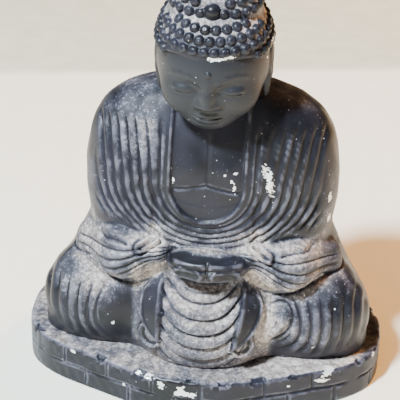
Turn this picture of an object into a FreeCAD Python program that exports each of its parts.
"""Seated Buddha statuette: hollow white-metal castings on a stone-block plinth, held together by one tie rod.

Millimetres, +Z up. The figure faces -Y, and its left and right sides are mirrored about X = 0.
The origin is at the centre of the plinth's footprint, on the surface that the statuette stands on.
"""

import FreeCAD
import Part
import Sketcher
import math
import os

from FreeCAD import Placement, Rotation, Vector

doc = FreeCAD.newDocument("buddha_statuette")
sheet = doc.addObject("Spreadsheet::Sheet", "dims")

# name, value in mm (or degrees, or a count), meaning
DIMENSIONS = [
    ("total_height", 104, "floor to the crown of the head"),
    ("wall", 2.2, "thickness of the castings"),
    ("clearance", 0.1, "gap between a locating feature and its seat"),
    ("felt_thickness", 1.0, "felt pad under the base plate"),
    ("plate_thickness", 1.0, "steel base plate"),
    ("plate_inset", 2.0, "rebate for the plate and felt, in from the plinth's outline"),
    ("sheet_inset", 2.1, "plate and felt, in from the plinth's outline"),
    ("plinth_height", 9.5, "floor to the plinth's top face"),
    ("plinth_width", 84, "across the plinth's two ends"),
    ("plinth_depth", 48, "front point to rear edge"),
    ("plinth_wall", 4.0, "side wall of the plinth"),
    ("plinth_top", 2.5, "thickness of the plinth's top"),
    ("front_flat", 14, "length of the short flat at the front"),
    ("front_corner_x", 36.5, "front corner, across"),
    ("front_corner_y", 11.5, "front corner, ahead of the centre"),
    ("end_front_y", 4, "front end of each end face"),
    ("end_rear_y", 12, "rear end of each end face"),
    ("rear_corner_x", 35, "rear corner, across"),
    ("rear_corner_y", 21, "rear corner, behind the centre"),
    ("rear_flat", 50, "length of the rear edge"),
    ("corner_radius", 5, "rounding of the plinth's upright edges"),
    ("joint_width", 0.5, "width of the engraved mortar joints"),
    ("joint_depth", 0.5, "depth of the engraved mortar joints"),
    ("block_length", 11.5, "length of one stone block"),
    ("seam_y", 3.8, "plane where the front and rear shells meet"),
    ("fold_height", 0.8, "how far a robe fold stands proud"),
    ("fold_width", 1.2, "width of a robe fold"),
    ("fold_pitch", 2.3, "fold to fold across the shoulders"),
    ("neckline_radius", 9.2, "half width of the robe's open neck"),
    ("neckline_bottom", 46.8, "lowest point of the open neck"),
    ("robe_top", 67, "upper end of the robe's folds"),
    ("fold_hang", 1.5, "how much further each outer fold hangs below the next"),
    ("fold_thickness", 0.85, "width of a fold at its lowest point"),
    ("sleeve_sweep", 27, "turn of each sleeve towards the hands, degrees"),
    ("sleeve_slope", 16, "fall of each sleeve towards the hands, degrees"),
    ("fold_rise", 0.9, "how much lower each outer fold ends at the shoulder"),
    ("folds", 6, "folds on each side of the open neck"),
    ("collar_radius", 6.1, "hole in the shells for the neck spigot"),
    ("spigot_radius", 6.0, "neck spigot of the head casting"),
    ("spigot_length", 5, "how far the spigot enters the shells"),
    ("neck_radius", 7.3, "visible neck above the collar"),
    ("rod_y", -2.5, "tie rod axis, front to back"),
    ("skull_y", -8.0, "centre of the skull, front to back"),
    ("head_tilt", 12, "forward bow of the head, degrees"),
    ("hair_level", 4.4, "hairline over the face, above the skull's centre"),
    ("nape_level", -8.5, "hairline at the nape"),
    ("curl_radius", 1.15, "radius of a hair curl"),
    ("curl_pitch", 2.8, "curl to curl"),
    ("row_spacing", 0.93, "row to row, as a share of the pitch"),
    ("head_wall", 3.0, "thickness of the head casting"),
    ("neck_length", 9, "neck above the collar"),
    ("rod_radius", 2.0, "tie rod"),
    ("rod_hole_radius", 2.2, "hole for the tie rod in the plinth"),
    ("rod_bottom", 3.2, "lower end of the tie rod"),
    ("rod_top", 75, "upper end of the tie rod, inside the neck"),
    ("nut_across_flats", 7, "tie rod nut"),
    ("nut_height", 1.7, "tie rod nut, thin pattern"),
    ("washer_radius", 5, "tie rod washer"),
    ("washer_thickness", 0.8, "tie rod washer"),
    ("dowel_radius", 0.8, "locating dowels across the seam"),
    ("dowel_length", 6, "locating dowels across the seam"),
    ("lug_radius", 2.4, "bosses that hold the dowels"),
    ("lug_length", 7, "bosses that hold the dowels, both shells together"),
    ("lug_inset", 1.4, "dowel axis inside the wall's inner face"),
    ("collar_thickness", 2.4, "roof of the body casting round the neck"),
    ("tongue_height", 1.5, "raised oval on the plinth that centres the shells"),
    ("edge_radius", 0.6, "rounding of the plinth's top edge"),
    ("screw_x", 26, "base plate screws, across"),
    ("screw_y", 10, "base plate screws, front to back"),
    ("screw_radius", 1.0, "base plate screws, shank"),
    ("screw_head_radius", 1.9, "base plate screws, countersunk head"),
    ("screw_length", 5, "base plate screws, overall"),
    ("post_radius", 2.8, "posts that the base plate screws enter"),
]
for row, (name, value, meaning) in enumerate(DIMENSIONS, start=1):
    sheet.set(f"A{row}", name)
    sheet.set(f"B{row}", str(value))
    sheet.setAlias(f"B{row}", name)
    sheet.set(f"C{row}", meaning)

# Cross-sections of the seated body: height, half width, half depth, centre in Y.
SECTIONS = [
    (8, 36.0, 13.6, 2.4),
    (14, 38.2, 15.0, 2.2),
    (20, 38.0, 15.8, 2.0),
    (26, 35.2, 16.4, 1.6),
    (31, 31.6, 16.6, 1.4),
    (36, 28.8, 16.2, 1.6),
    (42, 27.8, 15.6, 1.8),
    (50, 28.6, 15.2, 1.8),
    (58, 28.0, 14.6, 1.2),
    (64.5, 26.0, 13.2, 0.2),
    (69, 22.0, 11.6, -1.0),
    (72, 16.5, 10.2, -1.9),
    (73.5, 11.0, 8.8, -2.5),
]
SECTION_FIELDS = ("height", "width", "depth", "centre")

# Rounded masses: name, half sizes across, front to back and up, then the centre in the same order.
# One that is off centre is made on both sides. Those of the head are in the skull's own frame.
BODY_FORMS = [
    ("knee", 14.8, 11.6, 10.6, 24.0, -3.0, 20.3),
    ("sleeve", 12.6, 8.6, 8.0, 19.0, -6.8, 39.4),
    ("hands", 9.4, 5.4, 3.4, 0.0, -14.0, 37.0),
    ("drape", 16.0, 10.0, 18.0, 0.0, -7.4, 14.5),
]
HEAD_FORMS = [
    ("skull", 12.3, 13.2, 12.4, 0.0, 0.0, 0.0),
    ("raised_crown", 9.6, 9.4, 7.4, 0.0, 0.4, 9.8),
    ("jaw", 10.2, 9.4, 11.0, 0.0, -3.4, -3.8),
    ("chin", 3.4, 2.6, 2.4, 0.0, -9.6, -11.6),
    ("nose_bridge", 1.5, 2.0, 3.8, 0.0, -11.4, -3.2),
    ("nose_tip", 2.0, 1.7, 1.3, 0.0, -12.4, -6.0),
    ("upper_lip", 2.8, 1.3, 0.6, 0.0, -11.2, -8.9),
    ("lower_lip", 2.2, 1.3, 0.7, 0.0, -10.9, -10.1),
    ("brow_bead", 0.7, 0.7, 0.7, 0.0, -12.7, 1.6),
    ("crown_jewel", 1.9, 1.6, 1.9, 0.0, -9.0, 9.8),
    ("brow", 3.4, 1.0, 0.6, 3.9, -11.2, 0.5),
    ("eyelid", 2.5, 1.2, 1.0, 3.9, -10.8, -1.9),
    ("ear", 1.5, 2.8, 5.6, 11.9, 0.8, -2.2),
    ("ear_lobe", 1.2, 1.7, 3.8, 11.3, 0.4, -8.2),
]
FORM_FIELDS = ("half_width", "half_depth", "half_height", "across", "along", "up")

named_rows = [(f"body{i}", SECTION_FIELDS, values) for i, values in enumerate(SECTIONS)]
named_rows += [(name, FORM_FIELDS, values) for name, *values in BODY_FORMS + HEAD_FORMS]
for row, (prefix, fields, values) in enumerate(named_rows, start=len(DIMENSIONS) + 2):
    for column, field, value in zip("BCDEFG", fields, values):
        sheet.set(f"{column}{row}", str(value))
        sheet.setAlias(f"{column}{row}", f"{prefix}_{field}")
doc.recompute()


def dim(name):
    """A driving dimension's value, for code that builds a shape itself."""
    return float(sheet.get(name))


def bound(type_name, label, expressions):
    """A document object whose properties are bound to cells of the sheet."""
    thing = doc.addObject(type_name, label)
    for prop, text in expressions.items():
        thing.setExpression(prop, text)
    return thing


def rounded_form(label, name, side=1, turn=Rotation()):
    """One of the rounded masses of the tables above, in the frame that its table uses."""
    thing = bound("Part::Ellipsoid", label, {
        "Radius1": f"dims.{name}_half_height",
        "Radius2": f"dims.{name}_half_width",
        "Radius3": f"dims.{name}_half_depth",
    })
    thing.Angle1, thing.Angle2, thing.Angle3 = -90, 90, 360
    thing.Placement.Rotation = turn
    thing.setExpression("Placement.Base.x", f"dims.{name}_across * {side}")
    thing.setExpression("Placement.Base.y", f"dims.{name}_along")
    thing.setExpression("Placement.Base.z", f"dims.{name}_up")
    return thing


def sides(name):
    """The sides that a rounded mass is made on: both when it is off centre."""
    return ((1, "left"), (-1, "right")) if dim(f"{name}_across") else ((1, "middle"),)


def cylinder(label, radius, height, base, turn=Rotation()):
    """A cylinder from the base expressions, along +Z unless turned."""
    thing = bound("Part::Cylinder", label, {"Radius": radius, "Height": height})
    thing.Placement.Rotation = turn
    for axis, text in zip("xyz", base):
        thing.setExpression(f"Placement.Base.{axis}", text)
    return thing


def fuse(label, pieces):
    """All the pieces joined, one after another."""
    joined = pieces[0]
    for number, piece in enumerate(pieces[1:], start=1):
        step = doc.addObject("Part::Fuse", f"{label}_{number}")
        step.Base, step.Tool = joined, piece
        joined = step
    return joined


def common(label, base, tool):
    thing = doc.addObject("Part::Common", label)
    thing.Base, thing.Tool = base, tool
    return thing


def cut(label, base, tool):
    thing = doc.addObject("Part::Cut", label)
    thing.Base, thing.Tool = base, tool
    return thing


# ---------------------------------------------------------------- plinth

# Right-hand half of the plinth's outline, front to rear: (alias, divisor) for x, then for y.
OUTLINE = [
    (("front_flat", 2), ("plinth_depth", -2)),
    (("front_corner_x", 1), ("front_corner_y", -1)),
    (("plinth_width", 2), ("end_front_y", -1)),
    (("plinth_width", 2), ("end_rear_y", 1)),
    (("rear_corner_x", 1), ("rear_corner_y", 1)),
    (("rear_flat", 2), ("plinth_depth", 2)),
]


def coordinate(name, divisor, inset):
    """One outline coordinate moved inwards by the alias inset: its value and its expression."""
    sign = math.copysign(1, divisor)
    value = dim(name) / divisor - sign * (dim(inset) if inset else 0)
    text = f"dims.{name} / {divisor}"
    if inset:
        text += f" {'-' if sign > 0 else '+'} dims.{inset}"
    return value, text


def outline_points(inset=None):
    """The whole outline, anticlockwise from the front: ((x value, text), (y value, text))."""
    right = [(coordinate(*x, inset), coordinate(*y, inset)) for x, y in OUTLINE]
    left = [((-x, f"-({text})"), y) for (x, text), y in reversed(right)]
    return right + left


def attached_sketch(body, name, height=None):
    """A sketch on the body's own XY plane, raised to the height expression."""
    sketch = body.newObject("Sketcher::SketchObject", name)
    plane = next(f for f in body.Origin.OriginFeatures if f.Role == "XY_Plane")
    sketch.AttachmentSupport = (plane, [""])
    sketch.MapMode = "FlatFace"
    if height:
        sketch.setExpression("AttachmentOffset.Base.z", height)
    return sketch


def draw_outline(sketch, inset=None):
    """Adds the plinth's outline to a sketch, every corner tied to the sheet."""
    points = outline_points(inset)
    spots = [Vector(x[0], y[0], 0) for x, y in points]
    first = sketch.GeometryCount
    for here, there in zip(spots, spots[1:] + spots[:1]):
        sketch.addGeometry(Part.LineSegment(here, there))
    for index, (x, y) in enumerate(points):
        line = first + index
        before = first + (index - 1) % len(points)
        sketch.addConstraint(Sketcher.Constraint("Coincident", before, 2, line, 1))
        for kind, (value, expression) in (("DistanceX", x), ("DistanceY", y)):
            number = sketch.addConstraint(Sketcher.Constraint(kind, -1, 1, line, 1, value))
            sketch.setExpression(f"Constraints[{number}]", expression)


def draw_circle(sketch, radius, x, y):
    """Adds a circle: radius is an alias, and x and y are (alias, factor)."""
    spot = Vector(dim(x[0]) * x[1], dim(y[0]) * y[1], 0)
    ring = sketch.addGeometry(Part.Circle(spot, Vector(0, 0, 1), dim(radius)))
    number = sketch.addConstraint(Sketcher.Constraint("Radius", ring, dim(radius)))
    sketch.setExpression(f"Constraints[{number}]", f"dims.{radius}")
    for kind, (name, factor), value in (("DistanceX", x, spot.x), ("DistanceY", y, spot.y)):
        number = sketch.addConstraint(Sketcher.Constraint(kind, -1, 1, ring, 3, value))
        sketch.setExpression(f"Constraints[{number}]", f"dims.{name} * {factor}")


def pad(body, name, sketch, length):
    feature = body.newObject("PartDesign::Pad", name)
    feature.Profile = sketch
    feature.setExpression("Length", length)
    return feature


def pocket(body, name, sketch, length, upwards):
    """A pocket from the sketch's plane, upwards or downwards; it has to take material away."""
    before = volume_of(body)
    feature = body.newObject("PartDesign::Pocket", name)
    feature.Profile = sketch
    feature.Reversed = upwards
    feature.setExpression("Length", length)
    if volume_of(body) >= before:
        raise RuntimeError(f"{name} cuts nothing")
    return feature


def volume_of(body):
    doc.recompute()
    return body.Shape.Volume


SCREW_SIGNS = [(1, 1), (-1, 1), (1, -1), (-1, -1)]
SEAT = "dims.felt_thickness + dims.plate_thickness"


def block_joints():
    """Cutters for the mortar joints: the upright joints of both courses, as thin boxes."""
    width, depth = dim("joint_width"), dim("joint_depth")
    middle = dim("plinth_height") / 2
    courses = [(-1, middle, 0.5), (middle, dim("plinth_height") + 1, 0.0)]
    points = [(x[0], y[0]) for x, y in outline_points()]
    cutters = []
    for (x0, y0), (x1, y1) in zip(points, points[1:] + points[:1]):
        length = math.hypot(x1 - x0, y1 - y0)
        angle = math.degrees(math.atan2(y1 - y0, x1 - x0))
        blocks = max(1, round(length / dim("block_length")))
        for low, high, stagger in courses:
            for block in range(blocks):
                along = length * (block + stagger + 0.25) / blocks
                if not dim("corner_radius") / 2 < along < length - dim("corner_radius") / 2:
                    continue
                joint = Part.makeBox(width, 2 * depth, high - low, Vector(along, -depth, low))
                joint.Placement = Placement(Vector(x0, y0, 0), Rotation(Vector(0, 0, 1), angle))
                cutters.append(joint)
    return Part.makeCompound(cutters)


def make_plinth():
    body = doc.addObject("PartDesign::Body", "plinth_body")
    block = attached_sketch(body, "plinth_outline")
    draw_outline(block)
    pad(body, "plinth_block", block, "dims.plinth_height")
    doc.recompute()
    round_upright_edges(body)

    hollow = attached_sketch(body, "plinth_hollow")
    draw_outline(hollow, "plinth_wall")
    pocket(body, "hollow_pocket", hollow, "dims.plinth_height - dims.plinth_top", True)
    rebate = attached_sketch(body, "plate_rebate")
    draw_outline(rebate, "plate_inset")
    pocket(body, "rebate_pocket", rebate, SEAT, True)

    posts = attached_sketch(body, "screw_posts", SEAT)
    for side, end in SCREW_SIGNS:
        draw_circle(posts, "post_radius", ("screw_x", side), ("screw_y", end))
    pad(body, "post_pad", posts, f"dims.plinth_height - dims.plinth_top / 2 - ({SEAT})")
    tongue = attached_sketch(body, "figure_tongue", "dims.plinth_height - dims.plinth_top")
    draw_tongue(tongue)
    pad(body, "tongue_pad", tongue, "dims.plinth_top + dims.tongue_height")
    holes = attached_sketch(body, "screw_holes")
    for side, end in SCREW_SIGNS:
        draw_circle(holes, "screw_radius", ("screw_x", side), ("screw_y", end))
    pocket(body, "screw_pockets", holes, "dims.felt_thickness + dims.screw_length", True)
    rod = attached_sketch(body, "rod_hole")
    draw_circle(rod, "rod_hole_radius", ("rod_radius", 0), ("rod_y", 1))
    pocket(body, "rod_pocket", rod, "dims.plinth_height + dims.tongue_height", True)

    bed = doc.addObject("PartDesign::Body", "bed_joint_body")
    ring = attached_sketch(bed, "bed_joint_ring", "dims.plinth_height / 2")
    draw_outline(ring)
    inner = attached_sketch(bed, "bed_joint_core", "dims.plinth_height / 2")
    draw_outline(inner, "joint_depth")
    pad(bed, "bed_joint_slab", ring, "dims.joint_width")
    pocket(bed, "bed_joint_pocket", inner, "dims.joint_width", True)

    joints = doc.addObject("Part::Feature", "upright_joints")
    joints.Shape = block_joints()
    return cut("plinth", cut("plinth_bed_cut", body, bed), joints)


def round_upright_edges(body):
    """Rounds the plinth's outer upright edges, then breaks its top edge."""
    block = body.Tip
    upright = []
    for number, edge in enumerate(block.Shape.Edges, start=1):
        ends = [v.Point for v in edge.Vertexes]
        if len(ends) == 2 and abs(ends[0].x - ends[1].x) + abs(ends[0].y - ends[1].y) < 1e-6:
            upright.append(f"Edge{number}")
    fillet = body.newObject("PartDesign::Fillet", "plinth_corners")
    fillet.Base = (block, upright)
    fillet.setExpression("Radius", "dims.corner_radius")
    doc.recompute()
    top = [
        f"Edge{number}"
        for number, edge in enumerate(fillet.Shape.Edges, start=1)
        if edge.BoundBox.ZMin > dim("plinth_height") - 1e-6
    ]
    bevel = body.newObject("PartDesign::Fillet", "plinth_top_edge")
    bevel.Base = (fillet, top)
    bevel.setExpression("Radius", "dims.edge_radius")
    doc.recompute()


def draw_tongue(sketch):
    """The raised oval that the shells sit over: the first body section less the wall."""
    gap = dim("wall") + dim("clearance")
    half_x, half_y = dim("body0_width") - gap, dim("body0_depth") - gap
    centre = Vector(0, dim("body0_centre"), 0)
    oval = Part.Ellipse(centre + Vector(half_x, 0, 0), centre + Vector(0, half_y, 0), centre)
    sketch.addGeometry(oval)


# ---------------------------------------------------------------- seated body

def body_loft(label, growth):
    """The body's outer form, every section grown by the expression growth."""
    rings = []
    for index in range(len(SECTIONS)):
        ring = bound("Part::Ellipse", f"{label}_ring{index}", {
            "MajorRadius": f"dims.body{index}_width + {growth}",
            "MinorRadius": f"dims.body{index}_depth + {growth}",
            "Placement.Base.y": f"dims.body{index}_centre",
            "Placement.Base.z": f"dims.body{index}_height",
        })
        rings.append(ring)
    loft = doc.addObject("Part::Loft", label)
    loft.Sections = rings
    loft.Solid = True
    return loft


def lap_pieces():
    """Knees, sleeves, hands and the drapery that hangs between the knees."""
    pieces = []
    for name, *_ in BODY_FORMS:
        for side, side_name in sides(name):
            turn = Rotation()
            if name == "sleeve":
                inwards = Rotation(Vector(0, 0, 1), side * dim("sleeve_sweep"))
                turn = inwards.multiply(Rotation(Vector(0, 1, 0), side * dim("sleeve_slope")))
            pieces.append(rounded_form(f"{side_name}_{name}", name, side, turn))
    return pieces


def draw_fold(sketch, number):
    """A closed U-shaped band round the open neck; folds are numbered outwards from 0."""
    centre = Vector(0, dim("neckline_bottom") + dim("neckline_radius"), 0)
    top = dim("robe_top") - dim("fold_rise") * number
    inner = dim("neckline_radius") + dim("fold_pitch") * number
    arcs = [
        Part.Arc(centre + Vector(-r, 0, 0), centre + Vector(0, -sag, 0), centre + Vector(r, 0, 0))
        for r, sag in ((inner, fold_sag(number, 0)), (inner + dim("fold_width"), fold_sag(number, 1)))
    ]
    for arc in arcs:
        sketch.addGeometry(arc)
    for end in ("StartPoint", "EndPoint"):
        low = [getattr(arc, end) for arc in arcs]
        high = [Vector(spot.x, top, 0) for spot in low]
        sketch.addGeometry(Part.LineSegment(low[0], high[0]))
        sketch.addGeometry(Part.LineSegment(high[0], high[1]))
        sketch.addGeometry(Part.LineSegment(high[1], low[1]))


def fold_sag(number, edge):
    """How far a fold's inner (0) or outer (1) edge hangs below the centre of its arc."""
    return dim("neckline_radius") + dim("fold_hang") * number + dim("fold_thickness") * edge


def robe_folds():
    """Raised U-shaped folds: the part of a slightly grown body that lies behind flat U bands."""
    sketch = doc.addObject("Sketcher::SketchObject", "robe_fold_pattern")
    sketch.Placement = Placement(Vector(), Rotation(Vector(1, 0, 0), 90))
    for number in range(round(dim("folds"))):
        draw_fold(sketch, number)
    bands = doc.addObject("Part::Extrusion", "robe_fold_bands")
    bands.Base = sketch
    bands.DirMode = "Custom"
    bands.Dir = Vector(0, -1, 0)
    bands.setExpression("LengthFwd", "dims.plinth_depth")
    bands.Solid = True
    return common("robe_folds", body_loft("folded_skin", "dims.fold_height"), bands)


def box(label, size, corner):
    thing = doc.addObject("Part::Box", label)
    thing.Length, thing.Width, thing.Height = size
    thing.Placement.Base = Vector(*corner)
    return thing


REACH = 100


def half_space(label, rear):
    """A block over everything above the plinth that is behind, or ahead of, the seam plane."""
    block = box(label, (2 * REACH, REACH, 2 * REACH), (-REACH, 0, 0))
    block.setExpression("Placement.Base.y", "dims.seam_y" if rear else f"dims.seam_y - {REACH}")
    block.setExpression("Placement.Base.z", "dims.plinth_height")
    return block


# Dowel lugs: side, height.
LUGS = [(1, 16), (-1, 16), (1, 60), (-1, 60)]


def lug_spot(side, height):
    """Centre of a dowel lug at the seam, just inside the wall at that height."""
    pairs = [(dim(f"body{i}_height"), dim(f"body{i}_width")) for i in range(len(SECTIONS))]
    for (low, width_low), (high, width_high) in zip(pairs, pairs[1:]):
        if low <= height <= high:
            share = (height - low) / (high - low)
            width = width_low + share * (width_high - width_low)
            return Vector(side * (width - dim("wall") - dim("lug_inset")), dim("seam_y"), height)
    raise ValueError(height)


def rods_across_seam(radius, length):
    """One cylinder for each lug, centred on the seam plane."""
    rods = []
    for side, height in LUGS:
        spot = lug_spot(side, height) - Vector(0, length / 2, 0)
        rods.append(Part.makeCylinder(radius, length, spot, Vector(0, 1, 0)))
    return Part.makeCompound(rods)


def plain(label, shape):
    """A document object for a shape that is built directly."""
    thing = doc.addObject("Part::Feature", label)
    thing.Shape = shape
    return thing


COLLAR = f"dims.body{len(SECTIONS) - 1}_height"
ROD_AXIS = ("0", "dims.rod_y")


def make_shells():
    skin = body_loft("body_skin", "0")
    outside = fuse("body_outside", [skin, robe_folds()] + lap_pieces())
    ceiling = box("hollow_ceiling", (2 * REACH, 2 * REACH, REACH), (-REACH, -REACH, 0))
    ceiling.setExpression("Placement.Base.z", f"{COLLAR} - dims.collar_thickness")
    room = cut("body_room", body_loft("body_hollow", "-dims.wall"), ceiling)
    opening = cylinder("neck_opening", "dims.collar_radius", "dims.spigot_length * 3",
                       ROD_AXIS + (f"{COLLAR} - dims.spigot_length * 2",))
    shell = cut("body_shell", cut("body_shell_closed", outside, room), opening)
    lug_rods = plain("lug_rods", rods_across_seam(dim("lug_radius"), dim("lug_length")))
    dowel_holes = plain("dowel_holes", rods_across_seam(dim("dowel_radius"), dim("dowel_length")))
    lugged = fuse("shell_with_lugs", [shell, common("dowel_lugs", skin, lug_rods)])
    drilled = cut("drilled_shell", lugged, dowel_holes)
    front = common("front_shell", drilled, half_space("ahead_of_seam", False))
    rear = common("rear_shell", drilled, half_space("behind_seam", True))
    return front, rear, outside


# ---------------------------------------------------------------- head

def head_frame():
    """The skull's frame: bowed forward, and set so that the crown meets the total height."""
    tilt = math.radians(dim("head_tilt"))
    crown = dim("raised_crown_up") * math.cos(tilt) + dim("raised_crown_half_height")
    crown += dim("curl_radius")
    centre = Vector(0, dim("skull_y"), dim("total_height") - crown)
    return Placement(centre, Rotation(Vector(1, 0, 0), dim("head_tilt")))


def head_form(name, side, side_name):
    """One rounded mass of the head, put in its place in the skull's frame."""
    thing = rounded_form(f"{side_name}_{name}", name, side)
    for axis in "xyz":
        thing.setExpression(f"Placement.Base.{axis}", None)
    spot = Vector(dim(f"{name}_across") * side, dim(f"{name}_along"), dim(f"{name}_up"))
    thing.Placement = head_frame().multiply(Placement(spot, Rotation()))
    return thing


SIDE_ARC = 112
JEWEL_ARC = 14


def under_hair(azimuth, height):
    """Whether a spot of the skull has hair: azimuth is 0 at the face and 180 at the nape."""
    if azimuth < SIDE_ARC:
        return height > dim("hair_level")
    return height > dim("nape_level")


def clear_of_jewel(azimuth, height):
    return azimuth > JEWEL_ARC or height > dim("raised_crown_up") + dim("crown_jewel_half_height")


def ring_of_curls(name, latitude, half_step, wanted):
    """Curls evenly spaced round one latitude of a rounded mass, in the skull's frame."""
    flat = math.cos(math.radians(latitude))
    width, depth = dim(f"{name}_half_width") * flat, dim(f"{name}_half_depth") * flat
    height = dim(f"{name}_up") + dim(f"{name}_half_height") * math.sin(math.radians(latitude))
    count = max(1, round(math.pi * (width + depth) / dim("curl_pitch")))
    curls = []
    for step in range(count):
        azimuth = 360 * (step + half_step / 2) / count
        turn = math.radians(azimuth)
        if wanted(min(azimuth, 360 - azimuth), height):
            spot = Vector(width * math.sin(turn), -depth * math.cos(turn), height)
            outwards = spot - Vector(0, 0, dim(f"{name}_up"))
            curls.append(Part.makeSphere(dim("curl_radius"), spot, outwards))
    return curls


def hair_curls():
    """Staggered rows of round curls over the skull, then over the raised crown."""
    curls = []
    for name, lowest, rows, wanted in (
        ("skull", -39, 7, under_hair),
        ("raised_crown", 10, 4, clear_of_jewel),
    ):
        row_step = math.degrees(dim("curl_pitch") * dim("row_spacing") / dim(f"{name}_half_height"))
        for row in range(rows):
            curls += ring_of_curls(name, lowest + row * row_step, row % 2, wanted)
    return curls[0].fuse(curls[1:])


def make_head(body_outside):
    """The head casting, which sits on the shells' collar and enters it with a spigot."""
    masses = [head_form(name, *side) for name, *_ in HEAD_FORMS for side in sides(name)]
    neck = cylinder("neck", "dims.neck_radius", "dims.neck_length", ROD_AXIS + (COLLAR,))
    spigot = cylinder("neck_spigot", "dims.spigot_radius", "dims.spigot_length * 1.2",
                      ROD_AXIS + (f"{COLLAR} - dims.spigot_length",))
    curls = plain("hair_curls", hair_curls())
    curls.Placement = head_frame()
    seated = cut("seated_head", fuse("bald_head", masses + [neck]), body_outside)
    haired = fuse("head_with_hair", [seated, spigot, curls])
    hollow = bound("Part::Ellipsoid", "head_hollow", {
        "Radius1": "dims.skull_half_height - dims.head_wall",
        "Radius2": "dims.skull_half_width - dims.head_wall",
        "Radius3": "dims.skull_half_depth - dims.head_wall",
    })
    hollow.Angle1, hollow.Angle2, hollow.Angle3 = -90, 90, 360
    hollow.Placement = head_frame()
    tapped = cylinder("tapped_hole", "dims.rod_radius", "dims.rod_top", ROD_AXIS + ("0",))
    return cut("head", cut("head_shell", haired, hollow), tapped)


# ---------------------------------------------------------------- fastenings and base

def ring_round_rod(label, outer, thickness, bottom):
    """A round or six-sided ring on the tie rod."""
    hole = cylinder(f"{label}_hole", "dims.rod_radius", "dims.rod_top", ROD_AXIS + ("0",))
    outer.setExpression("Height", thickness)
    outer.setExpression("Placement.Base.y", "dims.rod_y")
    outer.setExpression("Placement.Base.z", bottom)
    return cut(label, outer, hole)


def base_sheet(label, thickness, bottom):
    """A flat sheet of the plinth's outline, cut to drop into the rebate underneath."""
    body = doc.addObject("PartDesign::Body", label)
    profile = attached_sketch(body, f"{label}_outline", bottom)
    draw_outline(profile, "sheet_inset")
    pad(body, f"{label}_pad", profile, thickness)
    return body


def make_fastenings():
    under_top = "dims.plinth_height - dims.plinth_top"
    rod = cylinder("tie_rod", "dims.rod_radius", "dims.rod_top - dims.rod_bottom",
                   ROD_AXIS + ("dims.rod_bottom",))
    disc = bound("Part::Cylinder", "washer_disc", {"Radius": "dims.washer_radius"})
    washer = ring_round_rod("tie_rod_washer", disc, "dims.washer_thickness",
                            f"{under_top} - dims.washer_thickness")
    prism = bound("Part::Prism", "nut_blank", {"Circumradius": "dims.nut_across_flats / sqrt(3)"})
    prism.Polygon = 6
    nut = ring_round_rod("tie_rod_nut", prism, "dims.nut_height",
                         f"{under_top} - dims.washer_thickness - dims.nut_height")
    dowels = plain("seam_dowels", rods_across_seam(dim("dowel_radius"), dim("dowel_length")))
    return [rod, washer, nut, dowels]


def screw(side, end):
    """One countersunk screw, its head flush with the underside of the plate."""
    low = dim("felt_thickness")
    spot = Vector(dim("screw_x") * side, dim("screw_y") * end, low)
    sink = dim("screw_head_radius") - dim("screw_radius")
    head = Part.makeCone(dim("screw_head_radius"), dim("screw_radius"), sink, spot)
    return head.fuse(Part.makeCylinder(dim("screw_radius"), dim("screw_length"), spot))


def make_base():
    blank = base_sheet("base_plate_blank", "dims.plate_thickness", "dims.felt_thickness")
    screws = plain("plate_screws", Part.makeCompound([screw(*signs) for signs in SCREW_SIGNS]))
    plate = cut("base_plate", blank, screws)
    felt = base_sheet("felt_pad", "dims.felt_thickness", "0")
    return [plate, screws, felt]


# ---------------------------------------------------------------- build and export

def check(thing):
    """Stops the build if a sub-part is not made of valid closed solids."""
    shape = thing.Shape
    if shape.isNull() or not shape.isValid() or not shape.Solids:
        raise RuntimeError(f"{thing.Label} has no valid solid")


front_shell, rear_shell, body_outside = make_shells()
kept = [make_plinth(), front_shell, rear_shell, make_head(body_outside), *make_fastenings(), *make_base()]
doc.recompute()
failed = [o.Label for o in doc.Objects if {"Invalid", "Error"} & set(o.State)]
if failed:
    raise RuntimeError(f"failed objects: {failed}")
for thing in kept:
    check(thing)
os.makedirs("parts", exist_ok=True)
for thing in kept:
    thing.Shape.exportStep(f"parts/{thing.Label}.step")
    print(thing.Label, len(thing.Shape.Solids), round(thing.Shape.Volume, 1))
